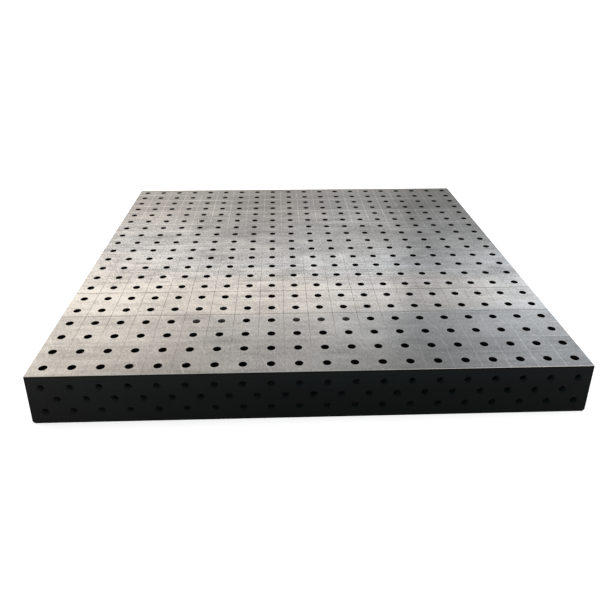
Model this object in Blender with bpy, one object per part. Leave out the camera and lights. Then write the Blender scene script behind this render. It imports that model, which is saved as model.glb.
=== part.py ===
"""A 2 m by 2 m welding table body: a plate box with a 100 mm grid of 28 mm clamping holes.

Every piece is laser-cut steel plate. The work plate lies on four side plates, and an egg-crate of ten
ribs stiffens it from below. Five leg plates close the bottom of the crossings that carry the legs, and
fillet welds join the box along its inside corners, at the ribs' ends and at the leg plates.

Frame: metres, +Z up, origin on the floor under the middle of the table, front side at -Y.
"""

import math

import bpy
from mathutils import Matrix, Vector

# Driving dimensions
PITCH = 0.100  # between neighbouring clamping holes, and between the scribed lines
HOLES_A_SIDE = 20
HEIGHT = 0.200
HOLE_DIAMETER = 0.028
PLATE = 0.025  # thickness of the work plate and of the side plates
RIB = 0.015  # thickness of a rib
LEG_PLATE = 0.020  # thickness of a leg plate
FIT = 0.0003  # play between pieces that touch

# What follows from them
SIDE = PITCH * HOLES_A_SIDE
HALF = SIDE / 2
UNDERSIDE = HEIGHT - PLATE
INSIDE = HALF - PLATE
SIDE_ROWS = (PITCH / 2, PITCH, 3 * PITCH / 2)  # heights of the hole rows in the side plates
HOLE_SIDES = 6
CORNER_RADIUS = 0.012  # the bottom corners of the front and rear plates
CORNER_STEPS = 4

RIB_LINES = [4 * PITCH * i for i in (-2, -1, 0, 1, 2)]
RIB_BOTTOM = LEG_PLATE
RIB_TOP = UNDERSIDE - FIT
RIB_MIDDLE = (RIB_BOTTOM + RIB_TOP) / 2
RIB_REACH = INSIDE - FIT
NOTCH_WIDTH = RIB + 4 * FIT
RIB_LAND = 0.040  # the upright stretch at the foot of a rib's end, which is welded to the side plate
RIB_SLOPE = 0.100  # how much sooner a rib's top edge ends, to leave room for bolts in the side plate

LEG_PLATE_SIDE = 0.200
LEG_PLATE_CHAMFER = 0.025
LEG_BOLT_SPACING = 0.140
LEG_BOLT_HOLE = 0.014  # tapping size of an M16 thread
LEG_LINE = RIB_LINES[-1]
LEG_PLACES = {
    "front_left": (-LEG_LINE, -LEG_LINE),
    "front_right": (LEG_LINE, -LEG_LINE),
    "centre": (0, 0),
    "rear_left": (-LEG_LINE, LEG_LINE),
    "rear_right": (LEG_LINE, LEG_LINE),
}

BOX_WELD = 0.010  # leg length of the welds along the box's inside corners
STITCH = 0.006  # leg length of the short welds on the ribs
STITCH_MARGIN = 0.003  # from a stitch's end to the end of the edge it lies on
BEAD_STEPS = 3
BEAD_BULGE = 0.3  # how far a bead's face stands out, from a flat one at 0 to a quarter round at 1


def clear_scene():
    for obj in list(bpy.data.objects):
        bpy.data.objects.remove(obj)


def steel(name, colour, roughness, metallic):
    material = bpy.data.materials.new(name)
    material.use_nodes = True
    shader = material.node_tree.nodes["Principled BSDF"]
    shader.inputs["Base Color"].default_value = (*colour, 1)
    shader.inputs["Roughness"].default_value = roughness
    shader.inputs["Metallic"].default_value = metallic
    return material


def arc(centre, radius, start, end, steps):
    """Points along an arc, from the start angle to the end angle in degrees, both included."""
    angles = [math.radians(start + (end - start) * i / steps) for i in range(steps + 1)]
    return [(centre[0] + radius * math.cos(a), centre[1] + radius * math.sin(a)) for a in angles]


def round_hole(centre, diameter):
    """A regular polygon whose flats touch the circle of that diameter, so that a pin of it goes through."""
    radius = diameter / 2 / math.cos(math.pi / HOLE_SIDES)
    half_turn = 180 / HOLE_SIDES
    return arc(centre, radius, half_turn, 360 - half_turn, HOLE_SIDES - 1)


def cut_plate(name, outlines, thickness, place, material, collection):
    """A flat plate: its outline first, then its holes. It is drawn in X and Y, its thickness along Z."""
    curve = bpy.data.curves.new(name, "CURVE")
    curve.dimensions = "2D"
    curve.fill_mode = "BOTH"
    curve.extrude = thickness / 2
    for outline in outlines:
        spline = curve.splines.new("POLY")
        spline.points.add(len(outline) - 1)
        for point, (x, y) in zip(spline.points, outline):
            point.co = (x, y, 0, 1)
        spline.use_cyclic_u = True
    curve.materials.append(material)
    obj = bpy.data.objects.new(name, curve)
    obj.matrix_world = place
    collection.objects.link(obj)


def turned(x_axis, y_axis, position):
    """The place of a flat piece whose X and Y lie along those directions."""
    x_axis, y_axis = Vector(x_axis), Vector(y_axis)
    place = Matrix((x_axis, y_axis, x_axis.cross(y_axis))).transposed().to_4x4()
    place.translation = position
    return place


def hole_row(count):
    """Places of a row of holes one pitch apart, centred on the table."""
    return [PITCH * (i - (count - 1) / 2) for i in range(count)]


def make_work_plate(material, collection):
    outline = [(-HALF, -HALF), (HALF, -HALF), (HALF, HALF), (-HALF, HALF)]
    places = hole_row(HOLES_A_SIDE)
    holes = [round_hole((x, y), HOLE_DIAMETER) for x in places for y in places]
    place = Matrix.Translation((0, 0, HEIGHT - PLATE / 2))
    cut_plate("work_plate", [outline, *holes], PLATE, place, material, collection)


def side_holes():
    """Three rows, of which the middle one is shifted by half a pitch."""
    low, middle, high = SIDE_ROWS
    rows = [(low, HOLES_A_SIDE), (middle, HOLES_A_SIDE - 1), (high, HOLES_A_SIDE)]
    return [round_hole((u, z), HOLE_DIAMETER) for z, count in rows for u in hole_row(count)]


def make_side_plates(material, collection):
    """The front and rear plates run from side to side, and the left and right ones stand between them."""
    top = UNDERSIDE - FIT
    straight = HALF - CORNER_RADIUS
    left_corner = arc((-straight, CORNER_RADIUS), CORNER_RADIUS, 180, 270, CORNER_STEPS)
    right_corner = arc((straight, CORNER_RADIUS), CORNER_RADIUS, -90, 0, CORNER_STEPS)
    long_outline = [*left_corner, *right_corner, (HALF, top), (-HALF, top)]
    reach = INSIDE - FIT
    short_outline = [(-reach, 0), (reach, 0), (reach, top), (-reach, top)]
    centre = HALF - PLATE / 2
    sides = {
        "front_side_plate": (long_outline, (1, 0, 0), (0, -centre, 0)),
        "rear_side_plate": (long_outline, (1, 0, 0), (0, centre, 0)),
        "left_side_plate": (short_outline, (0, 1, 0), (-centre, 0, 0)),
        "right_side_plate": (short_outline, (0, 1, 0), (centre, 0, 0)),
    }
    for name, (outline, along, position) in sides.items():
        place = turned(along, (0, 0, 1), position)
        cut_plate(name, [outline, *side_holes()], PLATE, place, material, collection)


def rib_outline(notches_open_upwards):
    """A rib's outline, with a notch at each crossing and ends that slope away from the side plates."""
    bottom = [(-RIB_REACH, RIB_BOTTOM)]
    right_end = [(RIB_REACH, RIB_BOTTOM), (RIB_REACH, RIB_BOTTOM + RIB_LAND)]
    top = [(RIB_REACH - RIB_SLOPE, RIB_TOP)]
    left_end = [(RIB_SLOPE - RIB_REACH, RIB_TOP), (-RIB_REACH, RIB_BOTTOM + RIB_LAND)]
    for line in RIB_LINES:
        left, right = line - NOTCH_WIDTH / 2, line + NOTCH_WIDTH / 2
        if notches_open_upwards:
            floor = RIB_MIDDLE - FIT / 2
            top[1:1] = [(right, RIB_TOP), (right, floor), (left, floor), (left, RIB_TOP)]
        else:
            roof = RIB_MIDDLE + FIT / 2
            bottom += [(left, RIB_BOTTOM), (left, roof), (right, roof), (right, RIB_BOTTOM)]
    return bottom + right_end + top + left_end


def make_ribs(material, collection):
    """Long ribs run from left to right and cross ribs from front to rear, halved into each other."""
    for number, line in enumerate(RIB_LINES, 1):
        long_place = turned((1, 0, 0), (0, 0, 1), (0, line, 0))
        cut_plate(f"long_rib_{number}", [rib_outline(True)], RIB, long_place, material, collection)
        cross_place = turned((0, 1, 0), (0, 0, 1), (line, 0, 0))
        cut_plate(f"cross_rib_{number}", [rib_outline(False)], RIB, cross_place, material, collection)


def make_leg_plates(material, collection):
    half, cut = LEG_PLATE_SIDE / 2, LEG_PLATE_SIDE / 2 - LEG_PLATE_CHAMFER
    outline = [(-cut, -half), (cut, -half), (half, -cut), (half, cut)]
    outline += [(cut, half), (-cut, half), (-half, cut), (-half, -cut)]
    bolt = LEG_BOLT_SPACING / 2
    holes = [round_hole((x, y), LEG_BOLT_HOLE) for x in (-bolt, bolt) for y in (-bolt, bolt)]
    holes.append(round_hole((0, 0), HOLE_DIAMETER))
    thickness = LEG_PLATE - FIT
    for where, (x, y) in LEG_PLACES.items():
        place = Matrix.Translation((x, y, thickness / 2))
        cut_plate(f"leg_plate_{where}", [outline, *holes], thickness, place, material, collection)


def make_bead(name, walls, leg, middle, length, material, collection):
    """A fillet weld along the corner between two walls, given as the directions into them.

    Its section is drawn from the corner, which is at the origin, back along both walls.
    """
    flat = [(-leg * i / BEAD_STEPS, leg * i / BEAD_STEPS - leg) for i in range(BEAD_STEPS + 1)]
    quarter = arc((-leg, -leg), leg, 0, 90, BEAD_STEPS)
    face = [Vector(a).lerp(b, BEAD_BULGE) for a, b in zip(flat, quarter)]
    section = [(0, 0), *reversed(face)]
    cut_plate(name, [section], length, turned(*walls, middle), material, collection)


def make_box_welds(material, collection):
    """One fillet under the work plate along each side plate, and one down each inside corner."""
    corner = INSIDE - FIT
    leg = BOX_WELD - FIT
    length = 2 * (corner - BOX_WELD)
    up = Vector((0, 0, 1))
    sides = {"front": (0, -1, 0), "right": (1, 0, 0), "rear": (0, 1, 0), "left": (-1, 0, 0)}
    for name, outwards in sides.items():
        middle = corner * Vector(outwards) + RIB_TOP * up
        make_bead(f"edge_weld_{name}", (outwards, up), leg, middle, length, material, collection)
    low, high = CORNER_RADIUS, RIB_TOP - FIT
    for front_or_rear, y in (("front", -1), ("rear", 1)):
        for left_or_right, x in (("left", -1), ("right", 1)):
            name = f"corner_weld_{front_or_rear}_{left_or_right}"
            # the walls in the order that makes their cross product point up
            walls = ((x, 0, 0), (0, y, 0))
            middle = (x * corner, y * corner, (low + high) / 2)
            make_bead(name, walls, leg, middle, high - low, material, collection)


def make_rib_stitches(material, collection):
    """A short weld at each rib's end, on one of its faces, up the side plate."""
    corner = INSIDE - FIT
    face = RIB / 2 + FIT
    level, length = RIB_BOTTOM + RIB_LAND / 2, RIB_LAND - 2 * STITCH_MARGIN
    for number, line in enumerate(RIB_LINES, 1):
        for name, end in (("left", -1), ("right", 1)):
            walls = ((end, 0, 0), (0, -1, 0))
            middle = (end * corner, line + face, level)
            name = f"long_rib_{number}_weld_{name}"
            make_bead(name, walls, STITCH, middle, length, material, collection)
        for name, end in (("front", -1), ("rear", 1)):
            walls = ((0, end, 0), (-1, 0, 0))
            middle = (line + face, end * corner, level)
            name = f"cross_rib_{number}_weld_{name}"
            make_bead(name, walls, STITCH, middle, length, material, collection)


def make_leg_plate_stitches(material, collection):
    """Each leg plate is welded to the two ribs that cross over it."""
    face = RIB / 2 + FIT
    near = face + STITCH + STITCH_MARGIN
    far = LEG_PLATE_SIDE / 2 - STITCH_MARGIN
    middle, length = (near + far) / 2, far - near
    down = (0, 0, -1)
    for where, (x, y) in LEG_PLACES.items():
        along_long = (x + middle, y + face, LEG_PLATE)
        name = f"leg_plate_{where}_weld_long"
        make_bead(name, ((0, -1, 0), down), STITCH, along_long, length, material, collection)
        along_cross = (x + face, y + middle, LEG_PLATE)
        name = f"leg_plate_{where}_weld_cross"
        make_bead(name, ((-1, 0, 0), down), STITCH, along_cross, length, material, collection)


def main():
    clear_scene()
    collection = bpy.data.collections.new("welding_table")
    bpy.context.scene.collection.children.link(collection)
    ground_steel = steel("ground_steel", (0.47, 0.46, 0.44), 0.35, 1.0)
    black_steel = steel("black_steel", (0.012, 0.014, 0.015), 0.55, 0.3)
    weld_metal = steel("weld_metal", (0.10, 0.10, 0.10), 0.5, 0.8)
    make_work_plate(ground_steel, collection)
    make_side_plates(black_steel, collection)
    make_ribs(black_steel, collection)
    make_leg_plates(black_steel, collection)
    make_box_welds(weld_metal, collection)
    make_rib_stitches(weld_metal, collection)
    make_leg_plate_stitches(weld_metal, collection)


main()
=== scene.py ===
"""A drilled steel welding table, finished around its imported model.

The work plate, the side plates, the ribs, the leg plates and the welds are each rebuilt here with their
fine edges, scribed lines, weld ripples and finishes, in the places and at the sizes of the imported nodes.
"""

import math

import bmesh
import bpy
import numpy as np
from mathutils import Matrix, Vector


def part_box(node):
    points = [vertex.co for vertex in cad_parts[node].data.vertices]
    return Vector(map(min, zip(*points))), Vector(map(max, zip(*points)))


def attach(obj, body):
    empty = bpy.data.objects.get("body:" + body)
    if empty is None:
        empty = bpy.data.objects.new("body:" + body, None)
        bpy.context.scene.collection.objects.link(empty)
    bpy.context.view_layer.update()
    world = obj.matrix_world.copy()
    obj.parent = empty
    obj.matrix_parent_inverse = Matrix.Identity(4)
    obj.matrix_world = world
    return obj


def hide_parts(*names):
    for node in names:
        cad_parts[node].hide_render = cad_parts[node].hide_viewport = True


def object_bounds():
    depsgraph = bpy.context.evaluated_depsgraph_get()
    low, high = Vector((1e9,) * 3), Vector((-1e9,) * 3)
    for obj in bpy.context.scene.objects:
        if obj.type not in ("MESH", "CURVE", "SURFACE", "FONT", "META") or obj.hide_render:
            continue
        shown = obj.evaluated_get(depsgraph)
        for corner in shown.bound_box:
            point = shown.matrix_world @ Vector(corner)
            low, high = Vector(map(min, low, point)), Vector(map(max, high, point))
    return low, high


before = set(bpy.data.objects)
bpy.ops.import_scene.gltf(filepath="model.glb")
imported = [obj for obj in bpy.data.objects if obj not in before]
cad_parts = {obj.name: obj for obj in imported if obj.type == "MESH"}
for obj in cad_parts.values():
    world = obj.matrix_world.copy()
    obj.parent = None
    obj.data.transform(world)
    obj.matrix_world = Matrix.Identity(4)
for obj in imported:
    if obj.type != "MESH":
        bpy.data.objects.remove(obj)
model_low, model_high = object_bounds()


# Work plate. One 25 mm steel plate, cut with 20 by 20 clamping holes of 28 mm, ground flat on top and then
# scribed midway between the holes. The grinder went from side to side in passes, so the strips between the
# lines differ a little in tone. The plate lies on the side plates and is welded to them from inside.
plate_low, plate_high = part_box("work_plate")
holes_a_side = 20
pitch = (plate_high.x - plate_low.x) / holes_a_side
half = plate_high.x
table_top = plate_high.z
hole_radius = 0.014
hole_steps = 16
hole_rim = 0.0020  # the countersink round each hole
rim_highlight_reach = 0.007  # how far from a hole's edge the painted highlight round it reaches
line_half_width = 0.0012
line_depth = 0.0008
plate_edge = 0.0008  # the chamfer round the top
smooth_angle = math.radians(30)
merge_distance = 1e-6


def rectangle(half_x, half_y, steps):
    """Points at equal steps along a rectangle's outline, from the middle of its right side and round to it.

    Each coordinate is a triangle wave of the distance travelled, clipped to the half width or half height.
    """
    around = 4 * (half_x + half_y)
    distance = np.arange(steps + 1) * around / steps
    x = np.abs(distance % around - around / 2) - around / 4
    y = np.abs((distance - around / 4) % around - around / 2) - around / 4
    return np.stack((np.clip(x, -half_x, half_x), np.clip(y, -half_y, half_y)), axis=-1)


def circle(radius, steps):
    """Points at equal angles round a circle, from its right side and round to it."""
    angle = np.arange(steps + 1) * 2 * np.pi / steps
    return radius * np.stack((np.cos(angle), np.sin(angle)), axis=-1)


def surface(name, grids, finishes):
    """A mesh object from grids of points, each with the number of its finish, or one number a face.

    A grid's last three axes are rows, columns and x, y, z; those before them count copies. Four neighbours
    make a face, whose front is seen with rows running to the right and columns upwards. Points that
    coincide are then merged, which closes seams and makes triangles where a side has no length.
    """
    points, faces, numbers = [], [], []
    first = 0
    for grid, finish in grids:
        grid = np.reshape(grid, (-1, *np.shape(grid)[-3:]))
        index = first + np.arange(grid[..., 0].size).reshape(grid.shape[:3])
        corners = (index[:, :-1, :-1], index[:, 1:, :-1], index[:, 1:, 1:], index[:, :-1, 1:])
        quads = np.stack(corners, axis=-1)
        first += index.size
        points.append(grid.reshape(-1, 3))
        faces.append(quads.reshape(-1, 4))
        if np.ndim(finish) > 1:
            finish = np.reshape(finish, quads.shape[:3])
        numbers.append(np.broadcast_to(finish, quads.shape[:3]).ravel())
    mesh = bpy.data.meshes.new(name)
    mesh.from_pydata(np.concatenate(points), [], np.concatenate(faces))
    mesh.polygons.foreach_set("material_index", np.concatenate(numbers).astype(np.int32))
    for finish in finishes:
        mesh.materials.append(finish)
    shape = bmesh.new()
    shape.from_mesh(mesh)
    bmesh.ops.remove_doubles(shape, verts=shape.verts, dist=merge_distance)
    shape.to_mesh(mesh)
    shape.free()
    mesh.shade_smooth()
    mesh.set_sharp_from_angle(angle=smooth_angle)
    piece = bpy.data.objects.new(name, mesh)
    bpy.context.scene.collection.objects.link(piece)
    return piece


class Value:
    """What a shader node gives out. Arithmetic on it adds a Math node and gives that node's output."""

    def __init__(self, finish, socket):
        self.finish = finish
        self.socket = socket

    def math(self, operation, *values):
        return self.finish.node("Math", dict(enumerate(values)), operation=operation)

    def __add__(self, other):
        return self.math("ADD", self, other)

    def __sub__(self, other):
        return self.math("SUBTRACT", self, other)

    def __rsub__(self, other):
        return self.math("SUBTRACT", other, self)

    def __mul__(self, other):
        return self.math("MULTIPLY", self, other)

    def __truediv__(self, other):
        return self.math("DIVIDE", self, other)

    def __pow__(self, other):
        return self.math("POWER", self, other)

    __radd__ = __add__
    __rmul__ = __mul__

    def floor(self):
        return self.math("FLOOR", self)

    def wrapped(self):
        """What is left above the whole number below it."""
        return self.math("FRACT", self)

    def absolute(self):
        return self.math("ABSOLUTE", self)

    def least(self, other):
        """The value, but no less than the other."""
        return self.math("MAXIMUM", self, other)

    def most(self, other):
        """The value, but no more than the other."""
        return self.math("MINIMUM", self, other)

    def between(self, start, end):
        """0 up to start, 1 from end on, and a smooth rise between them."""
        inputs = {0: self, 1: start, 2: end, 3: 0.0, 4: 1.0}
        return self.finish.node("MapRange", inputs, interpolation_type="SMOOTHSTEP")


class Finish:
    """A material whose shader nodes are added one by one."""

    def __init__(self, name):
        self.material = bpy.data.materials.new(name)
        self.material.use_nodes = True
        self.tree = self.material.node_tree
        self.shader = self.tree.nodes["Principled BSDF"]
        self.place = self.node("TexCoord", {}, output="Object")
        spread = self.tree.nodes.new("ShaderNodeSeparateXYZ")
        self.tree.links.new(self.place.socket, spread.inputs[0])
        self.x, self.y, self.z = (Value(self, output) for output in spread.outputs)

    def node(self, kind, inputs, output=0, stops=(), **settings):
        """Adds a node: its settings and a ramp's stops first, then the values or links of its sockets."""
        node = self.tree.nodes.new("ShaderNode" + kind)
        for name, value in settings.items():
            setattr(node, name, value)
        for number, (position, level) in enumerate(stops):
            elements = node.color_ramp.elements
            stop = elements[number] if number < 2 else elements.new(position)
            stop.position = position
            stop.color = (level, level, level, 1)
        for name, value in inputs.items():
            self.put(node.inputs[name], value)
        return Value(self, node.outputs[output])

    def put(self, socket, value):
        if isinstance(value, Value):
            self.tree.links.new(value.socket, socket)
        else:
            socket.default_value = value

    def set(self, **inputs):
        """Sets the shader's own sockets, named with underscores."""
        for name, value in inputs.items():
            self.put(self.shader.inputs[name.replace("_", " ")], value)

    def joined(self, x, y, z):
        return self.node("CombineXYZ", {0: x, 1: y, 2: z})

    def noise(self, place, scale, detail=2.0, roughness=0.5):
        """Cloudy noise about 0, mostly within 0.25 either way."""
        inputs = {"Vector": place, "Scale": scale, "Detail": detail, "Roughness": roughness}
        return self.node("TexNoise", inputs) - 0.5

    def chance(self, x, y, seed):
        """One random number from -0.5 to 0.5 for each pair of whole numbers."""
        return self.node("TexWhiteNoise", {"Vector": self.joined(x, y, seed)}) - 0.5

    def ramp(self, value, low, high, stops):
        """A curve through stops, each a place between low and high and a level there."""
        scaled = (value - low) / (high - low)
        placed = [((place - low) / (high - low), level) for place, level in stops]
        return self.node("ValToRGB", {0: scaled}, stops=placed)

    def mixed(self, factor, first, second):
        """One colour turning into another as the factor goes from 0 to 1."""
        inputs = {0: factor, 6: first, 7: second}
        return self.node("Mix", inputs, output=2, data_type="RGBA")

    def scaled(self, colour, level):
        """A colour made darker or lighter by a number."""
        return self.node("VectorMath", {0: colour, 3: level}, operation="SCALE")

    def bump(self, height, distance, strength=1.0):
        inputs = {"Height": height, "Distance": distance, "Strength": strength}
        return self.node("Bump", inputs)


# Soft dark patches on the face: each one's place, how far it spreads and how dark it is.
dark_patches = [(-0.42, 0.50, 0.42, 0.15), (0.84, -0.22, 0.30, 0.18), (0.50, 0.68, 0.34, 0.11)]


def place_in_square(finish):
    """How far a point is from the middle of its hole's square, rightward and rearward, in metres."""
    rightward = ((finish.x / pitch).wrapped() - 0.5) * pitch
    rearward = ((finish.y / pitch).wrapped() - 0.5) * pitch
    return rightward, rearward


def plate_tone_and_painted_reflection(steel):
    """The ground face's tone, all the marks in it, and the streaks among them.

    The tone is a curve from front to rear, times one from left to right, times a gentle lean to the sides:
    together a painted reflection of the surroundings, lightest a little in front of the middle and at the
    left, and darker at the front edge, the rear and the right. Then come the dark patches and the marks. The
    strips differ, the squares in a strip differ less, and clouds, smears, fine streaks along the strips,
    slanting scratches and specks come on top. The clouds, smears, streaks and specks are strongest in the
    middle of the table.
    """
    x, y = steel.x, steel.y
    strip = (y / pitch).floor()
    square = (x / pitch).floor()
    # painted reflection: the surroundings' light painted into the face's tone, from front to rear, from left
    # to right and with a lean to the sides
    painted_reflection_front_to_rear = steel.ramp(y, -1.0, 1.0, [
        (-1.00, 0.240), (-0.85, 0.319), (-0.62, 0.400), (-0.58, 0.515), (-0.42, 0.580), (-0.20, 0.505),
        (0.05, 0.395), (0.25, 0.340), (0.58, 0.290), (0.62, 0.245), (0.78, 0.230), (1.00, 0.225),
    ])
    painted_reflection_left_to_right = steel.ramp(x - 0.2 * y, -1.2, 1.2, [
        (-1.20, 0.680), (-0.60, 0.610), (-0.30, 0.520), (0.20, 0.535), (0.42, 0.470),
        (0.56, 0.320), (0.66, 0.325), (0.78, 0.375), (0.95, 0.470), (1.20, 0.520),
    ])
    left = 1 - x.between(-0.8, -0.2)
    painted_reflection_lean = (left - x.between(0.3, 0.9)) * (y.between(-0.3, 0.5) * 0.23 - 0.09)
    painted_reflection_lean = painted_reflection_lean + left * (1 - y.between(-0.75, -0.58)) * 0.18
    painted_reflection_lean = painted_reflection_lean - x.between(0.80, 0.97) * y.between(-0.15, 0.15) * 0.17
    tone = painted_reflection_front_to_rear * painted_reflection_left_to_right * 2 * (1 + painted_reflection_lean)
    for patch_x, patch_y, spread, depth in dark_patches:
        from_patch = ((x - patch_x) ** 2 + (y - patch_y) ** 2) ** 0.5
        tone = tone * (1 - depth + from_patch.between(0.0, spread) * depth)
    passes = steel.chance(strip, 0.0, 1.7) * 0.09 + steel.chance(square, strip, 4.2) * 0.025
    clouds = steel.noise(steel.joined(x, y * 1.6, 0.0), 3.4, 6.0, 0.70) * 0.75
    smears = steel.noise(steel.joined(x * 9, y * 26, 1.3), 1.0, 3.0, 0.6) * 0.55
    streaks = steel.noise(steel.joined(x * 2.2, y * 70, 3.1), 1.0, 3.0, 0.7) * 0.50
    slanted = steel.joined((x + y * 0.4) * 150, (y - x * 0.4) * 5, 7.7)
    scratches = steel.noise(slanted, 1.0, 2.0, 0.6).between(0.10, 0.28) * 0.40
    specks = steel.noise(steel.joined(x * 170, y * 65, 9.1), 1.0, 2.0, 0.7) * 1.00
    rougher = 1 + y.between(-0.6, -0.1) * (1 - y.between(0.5, 1.0)) * 0.8
    marks = passes + scratches + (clouds + smears + streaks + specks) * rougher
    return tone * (1 + marks), marks, streaks


def plate_tint(steel):
    """The steel's tint, a painted reflection of warm light at the left and cold light at the right: straw at
    the left, in a band across the front half and at the rear, and a cold grey at the right.
    """
    x, y = steel.x, steel.y
    # painted reflection: warmer bands from front to rear
    tint_shift = steel.ramp(y, -1.0, 1.0, [
        (-1.00, 0.10), (-0.62, 0.12), (-0.56, 0.30), (-0.38, 0.28), (-0.15, 0.02), (0.20, 0.05),
        (0.60, 0.22), (1.00, 0.26),
    ])
    slope = 0.52 - y.between(-0.7, 0.1) * 0.30
    reflected_warmth = steel.noise(steel.joined(x, y, 5.0), 2.2, 3.0) * 0.5 + tint_shift + 0.44 - x * slope
    return steel.mixed(reflected_warmth.between(0.0, 1.0), (0.955, 1.0, 1.045, 1), (1.09, 1.0, 0.90, 1))


def ground_steel():
    """The bright ground face, with a painted highlight: a little lighter round each hole, where its edge
    catches light.
    """
    steel = Finish("ground_steel")
    tone, marks, streaks = plate_tone_and_painted_reflection(steel)
    rightward, rearward = place_in_square(steel)
    from_hole = (rightward * rightward + rearward * rearward) ** 0.5
    # painted highlight: lighter in a ring round each hole's edge
    painted_rim_highlight = 1 - from_hole.between(hole_radius + hole_rim, hole_radius + rim_highlight_reach)
    grain = steel.noise(steel.joined(steel.x * 2.0, steel.y * 900, 0.0), 1.0, 2.0, 0.6)
    steel.set(
        Base_Color=steel.scaled(plate_tint(steel), (tone * (1 + painted_rim_highlight * 0.13)).most(0.72)), Metallic=1.0,
        Roughness=0.42 + marks * 0.15, Normal=steel.bump(grain + streaks, 0.00012, 0.5),
    )
    return steel.material


def scribed_steel():
    """A scribed line: darker and brown in the front half, faint at the front, and at the rear lighter than
    the face, which is a painted glint.

    The lines from side to side stand out more, and every second one of them more still. Those from front to
    rear carry much more of the painted glint at the right.
    """
    steel = Finish("scribed_steel")
    x, y = steel.x, steel.y
    rightward, rearward = place_in_square(steel)
    side_to_side = (rearward.absolute() - rightward.absolute()).between(-0.0005, 0.0005)
    every_second_stronger = 1 - ((y / pitch + 0.5) / 2).wrapped().between(0.49, 0.51)
    # painted glint: high where a line shows lighter than the face, low where it is darker and brown
    line_glint = steel.ramp(y, -1.0, 1.0, [
        (-1.00, 0.52), (-0.85, 0.44), (-0.75, 0.30), (-0.66, 0.20), (-0.61, 0.02), (-0.59, 0.02),
        (-0.55, 0.20), (-0.48, 0.04), (-0.38, 0.02), (-0.20, 0.24),
        (0.00, 0.36), (0.12, 0.56), (0.35, 0.75), (0.65, 1.00), (1.00, 0.90),
    ])
    glint_at_right = 0.40 - y.between(-0.68, -0.52) * 0.20
    line_glint = line_glint + x.between(0.2, 0.5) * glint_at_right * (1 - side_to_side * 0.7)
    contrast = (line_glint * 2.3 - 1.1) * (1 + y.between(0.1, 0.6) * 0.6)
    worn = steel.noise(steel.place, 7.0, 4.0, 0.7) * 1.2
    depth = 0.50 + side_to_side * (every_second_stronger * 0.57 - 0.10)
    tone, marks = plate_tone_and_painted_reflection(steel)[:2]
    level = (tone * (1 + (contrast + worn) * depth)).least(0.02).most(0.75)
    tint = steel.mixed(line_glint.between(0.0, 0.5), (1.12, 0.96, 0.86, 1), plate_tint(steel))
    steel.set(Base_Color=steel.scaled(tint, level), Metallic=0.9, Roughness=0.5 + marks * 0.15)
    return steel.material


def bright_edge_steel():
    """Where a grinder has broken an edge: brighter than the face, partly as bare ground steel and partly as
    a painted highlight, with short marks across it.
    """
    steel = Finish("bright_edge_steel")
    marks = steel.noise(steel.place, 220.0, 3.0, 0.7) * 0.5
    wear = steel.noise(steel.place, 9.0, 3.0, 0.6)
    tone = (1 + marks + wear) * 0.40
    steel.set(
        Base_Color=steel.scaled((1.03, 1.0, 0.95), tone), Metallic=1.0,
        Roughness=0.36 + marks * 0.3, Normal=steel.bump(marks, 0.0001),
    )
    return steel.material


# Runs of holes whose bores are lighter grey: the middle of a run of them, how far it reaches to each side,
# and how light they are.
grey_bore_rows = [(0.05, -0.65, 0.15, 0.070), (-0.40, -0.65, 0.10, 0.070), (-0.40, -0.55, 0.10, 0.025)]


def bore_steel():
    """The cut wall of a hole, black with cutting scale, and lighter grey in a few runs of holes."""
    steel = Finish("bore_steel")
    x, y = steel.x, steel.y
    cut_lines = steel.noise(steel.joined(x * 300, y * 300, steel.z * 8), 1.0, 2.0) * 0.8
    tone = 0.0030
    for middle_x, row_y, reach, lightness in grey_bore_rows:
        beside = (x - middle_x).absolute().between(reach - 0.01, reach)
        before = (y - row_y).absolute().between(0.04, 0.05)
        tone = (1 - beside) * (1 - before) * lightness + tone
    tone = tone * (1 + cut_lines)
    steel.set(
        Base_Color=steel.scaled((1.0, 0.96, 0.95), tone), Metallic=0.0, Roughness=0.7 + cut_lines * 0.2,
        Specular_IOR_Level=0.03, Normal=steel.bump(cut_lines, 0.0002),
    )
    return steel.material


def black_steel():
    """Thin satin black on steel: cloudy, with fine upright brush marks, and with painted light and shade:
    lighter at the left and towards the top, and browner and darker along the top edge, a painted shade.

    It was brushed on from outside, so the holes' walls and everything within are bare, dark mill scale.
    """
    steel = Finish("black_steel")
    x, y, z = steel.x, steel.y, steel.z
    clouds = steel.noise(steel.place, 3.5, 4.0, 0.65)
    brushed = steel.noise(steel.joined(x * 90, y * 90, z * 5), 1.0, 3.0, 0.6)
    specks = steel.noise(steel.place, 420.0, 2.0, 0.6)
    # painted light: the face is lighter at the left, and so is the inside
    painted_light_at_left = 1 - x.between(-1.1, 0.1)
    behind_face = half - x.absolute().least(y.absolute())
    bare = behind_face.between(0.0005, 0.003) * (painted_light_at_left * 0.007 + 0.0145)
    # painted light: lighter towards the top and in a band below it
    tone = painted_light_at_left * 0.0027 + z * 0.006 + z.between(0.11, 0.17) * 0.0014 + 0.0016 + bare
    tone = tone * (1 + clouds * 0.9 + brushed * 0.5 + specks * 0.4)
    cool = (x + clouds * 1.5).between(-1.0, 0.4)
    colour = steel.mixed(cool, (0.98, 1.02, 1.05, 1), (0.66, 1.05, 1.05, 1))
    # painted shade: browner and darker just under the work plate's edge
    painted_shade_under_top = z.between(table_top - 0.010, table_top - 0.003)
    colour = steel.mixed(painted_shade_under_top, colour, (0.50, 0.40, 0.10, 1))
    steel.set(
        Base_Color=steel.scaled(colour, tone), Metallic=0.0,
        Roughness=0.46 + clouds * 0.3 + brushed * 0.15, Specular_IOR_Level=0.04,
        Normal=steel.bump(specks + brushed * 0.6, 0.00015),
    )
    return steel.material


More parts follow.
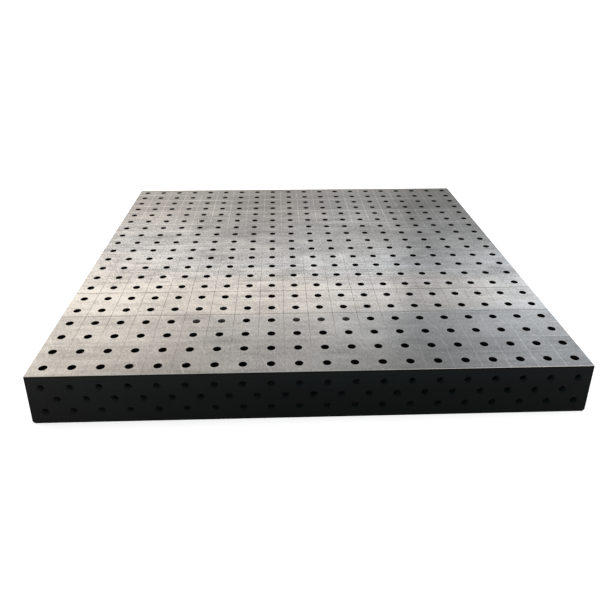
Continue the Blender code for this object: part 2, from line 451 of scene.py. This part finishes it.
ground, scribed, bright_edge = ground_steel(), scribed_steel(), bright_edge_steel()
bore, black = bore_steel(), black_steel()
plate_finishes = [ground, scribed, bright_edge, bore, black]
GROUND, SCRIBED, BRIGHT_EDGE, BORE, BLACK = range(len(plate_finishes))

# Each hole's square is a set of rings, from its underside through the bore to the scribed lines round it.
rings = [
    (rectangle(pitch / 2, pitch / 2, hole_steps), plate_low.z),
    (circle(hole_radius, hole_steps), plate_low.z),
    (circle(hole_radius, hole_steps), table_top - hole_rim),
    (circle(hole_radius + hole_rim, hole_steps), table_top),
    (rectangle(pitch / 2 - line_half_width, pitch / 2 - line_half_width, hole_steps), table_top),
    (rectangle(pitch / 2, pitch / 2, hole_steps), table_top - line_depth),
]
middles = (np.arange(holes_a_side) + 0.5) * pitch - half
squares = np.stack(np.meshgrid(middles, middles, indexing="ij"), axis=-1).reshape(-1, 1, 1, 2)
flat = squares + np.array([outline for outline, level in rings])
levels = np.broadcast_to(np.array([level for outline, level in rings])[:, None], flat.shape[:3]).copy()
on_edge = np.abs(flat).max(axis=-1) > half - merge_distance
levels[:, -1][on_edge[:, -1]] = table_top - plate_edge
flat[:, -2] = np.clip(flat[:, -2], plate_edge - half, half - plate_edge)
cells = np.concatenate((flat, levels[..., None]), axis=-1)
between_rings = np.array([BLACK, BORE, BORE, GROUND, SCRIBED])
strip_finishes = np.tile(between_rings[:, None], (len(cells), 1, hole_steps))
chamfered = on_edge[:, -1, :-1] & on_edge[:, -1, 1:]
strip_finishes[:, -1][chamfered] = BRIGHT_EDGE
outline = rectangle(half, half, holes_a_side * hole_steps)
wall = np.stack([
    np.column_stack((outline, np.full(len(outline), level)))
    for level in (table_top - plate_edge, plate_low.z)
])
work_plate = surface("work_plate_ground", [(cells, strip_finishes), (wall, BLACK)], plate_finishes)
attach(work_plate, "root")
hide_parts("work_plate")


# Side plates. Four 25 mm plates stand under the work plate, each with three rows of clamping holes, of
# which the middle one is shifted by half a pitch. The front and rear plates run from side to side, with
# rounded bottom corners, and the other two stand between them. All are black outside.
row_heights = (pitch / 2, pitch, 3 * pitch / 2)
side_hole_steps = 24
step = pitch / 8  # between the points round a hole's rectangle, one pitch wide and half a pitch high
corner_radius = 0.012
corner_steps = 6
side_edge = 0.0003
up = np.array((0.0, 0.0, 1.0))


def drilled(radius, half_u, half_v, steps):
    """A flat rectangle with a round hole, as a strip between the hole's circle and the outline."""
    return np.stack((circle(radius, steps), rectangle(half_u, half_v, steps)))


def patch(u, v):
    """A flat grid over every pair of a u and a v."""
    return np.stack(np.meshgrid(u, v, indexing="ij"), axis=-1)


def corner_fan(side, centre_u):
    """Triangles round a point that fill a rounded bottom corner, side being -1 for left and 1 for right."""
    straight = side * (half - corner_radius)
    angle = np.radians(270) + side * np.linspace(0, np.pi / 2, corner_steps + 1)
    arc_u = straight + corner_radius * np.cos(angle)
    arc_v = corner_radius + corner_radius * np.sin(angle)
    rim_u = np.concatenate(([centre_u], arc_u, [side * half]))
    rim_v = np.concatenate(([0.0], arc_v, [2 * step]))
    rim = np.column_stack((rim_u, rim_v))[::side]
    hub = np.broadcast_to((centre_u, 2 * step), rim.shape)
    return np.stack((hub, rim))


def thickened(piece, thickness, offset, edge):
    """Gives a flat sheet its thickness, breaks its edges, and shades each face by its own direction."""
    solid = piece.modifiers.new("thickness", "SOLIDIFY")
    solid.thickness = thickness
    solid.offset = offset
    solid.material_offset_rim = 1
    bevel = piece.modifiers.new("broken_edges", "BEVEL")
    bevel.width = edge
    bevel.segments = 1
    bevel.limit_method = "ANGLE"
    bevel.angle_limit = math.radians(40)
    bevel.use_clamp_overlap = False
    piece.modifiers.new("face_shading", "WEIGHTED_NORMAL")


low_row, middle_row, high_row = row_heights
inner_row = [(number * pitch, middle_row) for number in range(1 - holes_a_side // 2, holes_a_side // 2)]
side_holes = [(u, v) for v in (low_row, high_row) for u in middles] + inner_row
hole_cell = drilled(hole_radius, pitch / 2, pitch / 4, side_hole_steps)
hole_cells = np.array(side_holes)[:, None, None, :] + hole_cell
row_end = np.linspace(half - pitch / 2, half, 5)
row_levels = np.linspace(middle_row - pitch / 4, middle_row + pitch / 4, 5)
for where, along in (("front", (1, 0, 0)), ("right", (0, 1, 0)), ("rear", (-1, 0, 0)), ("left", (0, -1, 0))):
    node = f"{where}_side_plate"
    low, high = (np.array(corner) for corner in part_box(node))
    along = np.array(along, float)
    outward = np.cross(along, up)
    reach = (high - low) @ np.abs(along) / 2
    face = np.max(np.abs((low @ outward, high @ outward)))
    runs_through = reach > half - merge_distance
    bottom_end = half - step if runs_through else half
    sheets = [hole_cells, patch(row_end, row_levels), patch(-row_end[::-1], row_levels)]
    sheets.append(patch(np.arange(-bottom_end, bottom_end + step / 2, step), (0.0, 2 * step)))
    if runs_through:
        sheets += [corner_fan(-1, -bottom_end), corner_fan(1, bottom_end)]
    grids = []
    for sheet in sheets:
        u = np.clip(sheet[..., :1], -reach, reach)
        v = np.minimum(sheet[..., 1:], high[2])
        grids.append((face * outward + u * along + v * up, 0))
    piece = surface(f"{where}_plate_drilled", grids, [black, black])
    thickened(piece, (high - low) @ np.abs(outward), -1, side_edge)
    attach(piece, "root")
    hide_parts(node)


# Ribs. Ten 15 mm plates on edge under the work plate, five each way, halved into one another where they
# cross. Their ends slope away from the side plates, so that bolts in the side holes have room, and only a
# short upright land at the foot of each end is welded on.
rib_lines = [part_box(f"long_rib_{number}") for number in range(1, 6)]
rib_lines = [(low.y + high.y) / 2 for low, high in rib_lines]
rib_low, rib_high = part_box("long_rib_1")
rib_thickness = rib_high.y - rib_low.y
rib_reach = rib_high.x
rib_land = 0.040
rib_slope = 0.100
notch_width = rib_thickness + 0.0012
notch_play = 0.00015  # between a notch's end and the height where the ribs meet
rib_edge = 0.0006


def rib_band(levels, ends_from, ends_to):
    """A grid along a rib between two notches' edges, or from end to end, with its own ends sloped."""
    land_top = rib_low.z + rib_land
    retreat = np.maximum(levels - land_top, 0) * rib_slope / (rib_high.z - land_top)
    edges = [line + side * notch_width / 2 for line in rib_lines for side in (-1, 1)]
    stations = np.concatenate(([-rib_reach], edges, [rib_reach]))
    u = np.repeat(stations[:, None], len(levels), axis=1)
    u[0] += retreat
    u[-1] -= retreat
    v = np.broadcast_to(levels, u.shape)
    return np.stack((u, v), axis=-1)[ends_from:ends_to]


rib_middle = (rib_low.z + rib_high.z) / 2
for kind, along, across in (("long", (1, 0, 0), (0, 1, 0)), ("cross", (0, 1, 0), (1, 0, 0))):
    notched_above = kind == "long"
    meeting = rib_middle - notch_play if notched_above else rib_middle + notch_play
    lower = np.array((rib_low.z, rib_low.z + rib_land, meeting))
    upper = np.array((meeting, rib_high.z))
    whole, notched = (lower, upper) if notched_above else (upper, lower)
    sheets = [rib_band(whole, 0, None)]
    sheets += [rib_band(notched, start, start + 2) for start in range(0, 2 * len(rib_lines) + 2, 2)]
    for number, line in enumerate(rib_lines, 1):
        grids = [
            (line * np.array(across) + sheet[..., :1] * np.array(along) + sheet[..., 1:] * up, 0)
            for sheet in sheets
        ]
        piece = surface(f"{kind}_rib_{number}_cut", grids, [black, black])
        thickened(piece, rib_thickness, 0, rib_edge)
        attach(piece, "root")
        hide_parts(f"{kind}_rib_{number}")


# Leg plates. Five 20 mm plates under the crossings of the ribs, at the corners and in the middle, which
# take the legs: four bolt holes on a square round a locating hole, and corners cut off at 45 degrees.
leg_places = {
    "front_left": (rib_lines[0], rib_lines[0]),
    "front_right": (rib_lines[-1], rib_lines[0]),
    "centre": (0.0, 0.0),
    "rear_left": (rib_lines[0], rib_lines[-1]),
    "rear_right": (rib_lines[-1], rib_lines[-1]),
}
leg_low, leg_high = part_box("leg_plate_centre")
leg_half = leg_high.x
leg_chamfer = 0.025
bolt_place = 0.070
bolt_radius = 0.007
inner_half = 0.040  # the square round the locating hole
leg_steps = 24
corner_stations = np.array((0.040, 0.052, 0.064, 0.075, 0.083, 0.091, 0.100))
leg_edge = 0.0008


def station_outline(stations):
    """Round a square whose sides all have these stations, from the middle one of its right side."""
    last, middle = len(stations) - 1, len(stations) // 2
    number = np.arange(last)
    x = np.concatenate((np.full(last, last), last - number, np.zeros(last, int), number))
    y = np.concatenate((number, np.full(last, last), last - number, np.zeros(last, int)))
    order = np.arange(middle, middle + 4 * last + 1) % (4 * last)
    return np.column_stack((stations[x[order]], stations[y[order]]))


def leg_plate_sheets():
    """The plate's nine blocks: a drilled middle, four drilled corners and four plain ones between them."""
    corner = station_outline(corner_stations)
    beyond = np.maximum(corner.sum(axis=1, keepdims=True) - (2 * leg_half - leg_chamfer), 0)
    corner = corner - beyond / 2
    bolt_hole = bolt_place + circle(bolt_radius, leg_steps)
    inner = np.linspace(-inner_half, inner_half, leg_steps // 4 + 1)
    drilled_corner = np.stack((bolt_hole, corner))
    plain = patch(corner_stations, inner)
    sheets = [drilled(hole_radius, inner_half, inner_half, leg_steps)]
    for quarter in range(4):
        cosine, sine = round(math.cos(quarter * math.pi / 2)), round(math.sin(quarter * math.pi / 2))
        turn = np.array(((cosine, sine), (-sine, cosine)))
        sheets += [drilled_corner @ turn, plain @ turn]
    return sheets


leg_sheets = leg_plate_sheets()
for where, place in leg_places.items():
    grids = []
    for sheet in leg_sheets:
        level = np.full((*sheet.shape[:-1], 1), leg_high.z)
        grids.append((np.concatenate((sheet + place, level), axis=-1), 0))
    piece = surface(f"leg_plate_{where}_cut", grids, [black, bore])
    thickened(piece, leg_high.z - leg_low.z, -1, leg_edge)
    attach(piece, "root")
    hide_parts(f"leg_plate_{where}")


# Welds. Fillet beads along the inside corners of the box, at the ribs' ends and between the leg plates and
# the ribs. Each is a row of overlapping ripples, left as welded.
box_leg = 0.0097
stitch_leg = 0.0060
ripple_length = 0.0032
ripple_share = 0.07  # a ripple's height as a share of the bead's leg
stations_a_ripple = 4
bead_bulge = 0.16
face_points = 8


def weld_steel():
    """Bare dark weld metal: glossier than the plates, blued and browned along the bead."""
    steel = Finish("weld_metal")
    tint_shift = steel.noise(steel.place, 14.0, 3.0, 0.6)
    spatter = steel.noise(steel.place, 600.0, 2.0, 0.6)
    colour = steel.mixed((tint_shift + 0.5).between(0.3, 0.7), (0.016, 0.017, 0.021, 1), (0.030, 0.022, 0.016, 1))
    steel.set(
        Base_Color=steel.scaled(colour, 1 + spatter), Metallic=0.4, Roughness=0.42 + tint_shift * 0.4,
        Normal=steel.bump(spatter, 0.0002),
    )
    return steel.material


def bead(start, end, wall_a, wall_b, leg):
    """A fillet from start to end in the corner of two walls, given as the directions into them.

    Across, its face runs straight from one wall to the other plus a parabola, closed through the corner.
    Along, it swells and sinks by a rectified sine whose crests bow forwards in the middle of the face, and
    at both ends it shrinks to a point as a quarter ellipse does.
    """
    start, end, wall_a, wall_b = (np.array(v, float) for v in (start, end, wall_a, wall_b))
    length = np.linalg.norm(end - start)
    ripples = max(2, round(length / ripple_length))
    t = np.linspace(0, 1, ripples * stations_a_ripple + 1)[:, None]
    p = np.linspace(0, 1, face_points)[None, :]
    middle = 4 * p * (1 - p)
    ripple = np.abs(np.sin(np.pi * (t * ripples + 0.6 * middle))) * middle
    to_end = np.minimum(t, 1 - t) * length / leg
    size = leg * np.sqrt(np.clip(1 - (1 - np.minimum(to_end, 1)) ** 2, 0, 1))
    height = (bead_bulge * middle + ripple_share * ripple) / math.sqrt(2)
    a = -size * (p + height)
    b = -size * (1 - p + height)
    corner = np.zeros_like(size)
    a, b = (np.concatenate((corner, side, corner), axis=1)[..., None] for side in (a, b))
    return start + t[..., None] * (end - start) + a * wall_a + b * wall_b


def make_weld(node, start, end, wall_a, wall_b, leg):
    if np.dot(np.cross(wall_a, wall_b), np.subtract(end, start)) < 0:
        wall_a, wall_b = wall_b, wall_a
    piece = surface(f"{node}_bead", [(bead(start, end, wall_a, wall_b, leg), 0)], [weld])
    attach(piece, "root")
    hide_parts(node)


def corner_line(node, walls):
    """The two ends of a bead's corner: of its node's box, the edge that lies furthest into both walls."""
    low, high = (np.array(corner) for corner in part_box(node))
    into = sum(np.array(wall) for wall in walls)
    start = np.where(into > 0, high, low)
    end = np.where(into < 0, low, high)
    return start * (into != 0) + low * (into == 0), end * (into != 0) + high * (into == 0)


weld = weld_steel()
beads = {}
directions = {"front": (0, -1, 0), "right": (1, 0, 0), "rear": (0, 1, 0), "left": (-1, 0, 0)}
for where, outward in directions.items():
    beads[f"edge_weld_{where}"] = (outward, (0, 0, 1), box_leg)
for front_or_rear in ("front", "rear"):
    for left_or_right in ("left", "right"):
        walls = (directions[left_or_right], directions[front_or_rear])
        beads[f"corner_weld_{front_or_rear}_{left_or_right}"] = (*walls, box_leg)
for number in range(1, len(rib_lines) + 1):
    for end in ("left", "right"):
        beads[f"long_rib_{number}_weld_{end}"] = (directions[end], (0, -1, 0), stitch_leg)
    for end in ("front", "rear"):
        beads[f"cross_rib_{number}_weld_{end}"] = (directions[end], (-1, 0, 0), stitch_leg)
for where in leg_places:
    beads[f"leg_plate_{where}_weld_long"] = ((0, -1, 0), (0, 0, -1), stitch_leg)
    beads[f"leg_plate_{where}_weld_cross"] = ((-1, 0, 0), (0, 0, -1), stitch_leg)
for node, (wall_a, wall_b, leg) in beads.items():
    make_weld(node, *corner_line(node, (wall_a, wall_b)), wall_a, wall_b, leg)


# Floor, light and camera. A plain pale floor that runs out to the horizon, an even pale sky and two large
# soft lamps. The camera stands in front of the table, a little left of its middle, and looks down on it.
floor_half = 150.0
floor_gap = 0.0002
side_low, side_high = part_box("front_side_plate")
side_thickness = side_high.y - side_low.y


def floor_paint():
    """Matt white, with a little light of its own, so that shadows on it stay soft and faint.

    Under the table it is painted dark, a painted shadow, where the holes would otherwise show it bright.
    """
    paint = Finish("floor_paint")
    # painted shadow: dark and barely glowing under the table
    beyond = paint.x.absolute().least(paint.y.absolute()).between(half - side_thickness, half).least(0.010)
    paint.set(
        Base_Color=paint.scaled((0.92, 0.92, 0.92), beyond), Roughness=0.9, Specular_IOR_Level=0.0,
        Emission_Color=paint.scaled((1.0, 1.0, 1.0), beyond), Emission_Strength=0.35,
    )
    return paint.material


def soft_lamp(name, place, size, power, colour):
    """A square lamp that faces the middle of the table."""
    light = bpy.data.lights.new(name, "AREA")
    light.shape = "SQUARE"
    light.size = size
    light.energy = power
    light.color = colour
    lamp = bpy.data.objects.new(name, light)
    lamp.location = place
    lamp.rotation_euler = (-lamp.location).to_track_quat("-Z", "Y").to_euler()
    bpy.context.scene.collection.objects.link(lamp)


floor_side = np.linspace(-floor_half, floor_half, 3)
floor_flat = patch(floor_side, floor_side)
floor_level = np.full((*floor_flat.shape[:-1], 1), model_low.z - floor_gap)
floor = surface("floor", [(np.concatenate((floor_flat, floor_level), axis=-1), 0)], [floor_paint()])
world = bpy.data.worlds.new("pale_sky")
world.use_nodes = True
sky = world.node_tree.nodes["Background"]
sky.inputs["Color"].default_value = (1.0, 1.0, 1.0, 1)
sky.inputs["Strength"].default_value = 1.0
bpy.context.scene.world = world
soft_lamp("soft_lamp_left", (-3.0, 1.0, 4.0), 3.0, 60.0, (1.0, 0.97, 0.93))
soft_lamp("soft_lamp_right", (3.2, -1.5, 4.2), 3.0, 40.0, (0.95, 0.98, 1.0))
camera_data = bpy.data.cameras.new("camera")
camera_data.lens = 36.016
camera_data.sensor_width = 36.0
camera_data.shift_x = -0.0009
camera_data.shift_y = -0.0963
camera_data.clip_end = 4 * floor_half
camera = bpy.data.objects.new("camera", camera_data)
camera.location = (-0.11895, -2.74010, 1.44712)
camera.rotation_euler = [math.radians(angle) for angle in (66.5417, -0.2238, -2.2140)]
bpy.context.scene.collection.objects.link(camera)
bpy.context.scene.camera = camera
bpy.context.scene.view_settings.view_transform = "Standard"
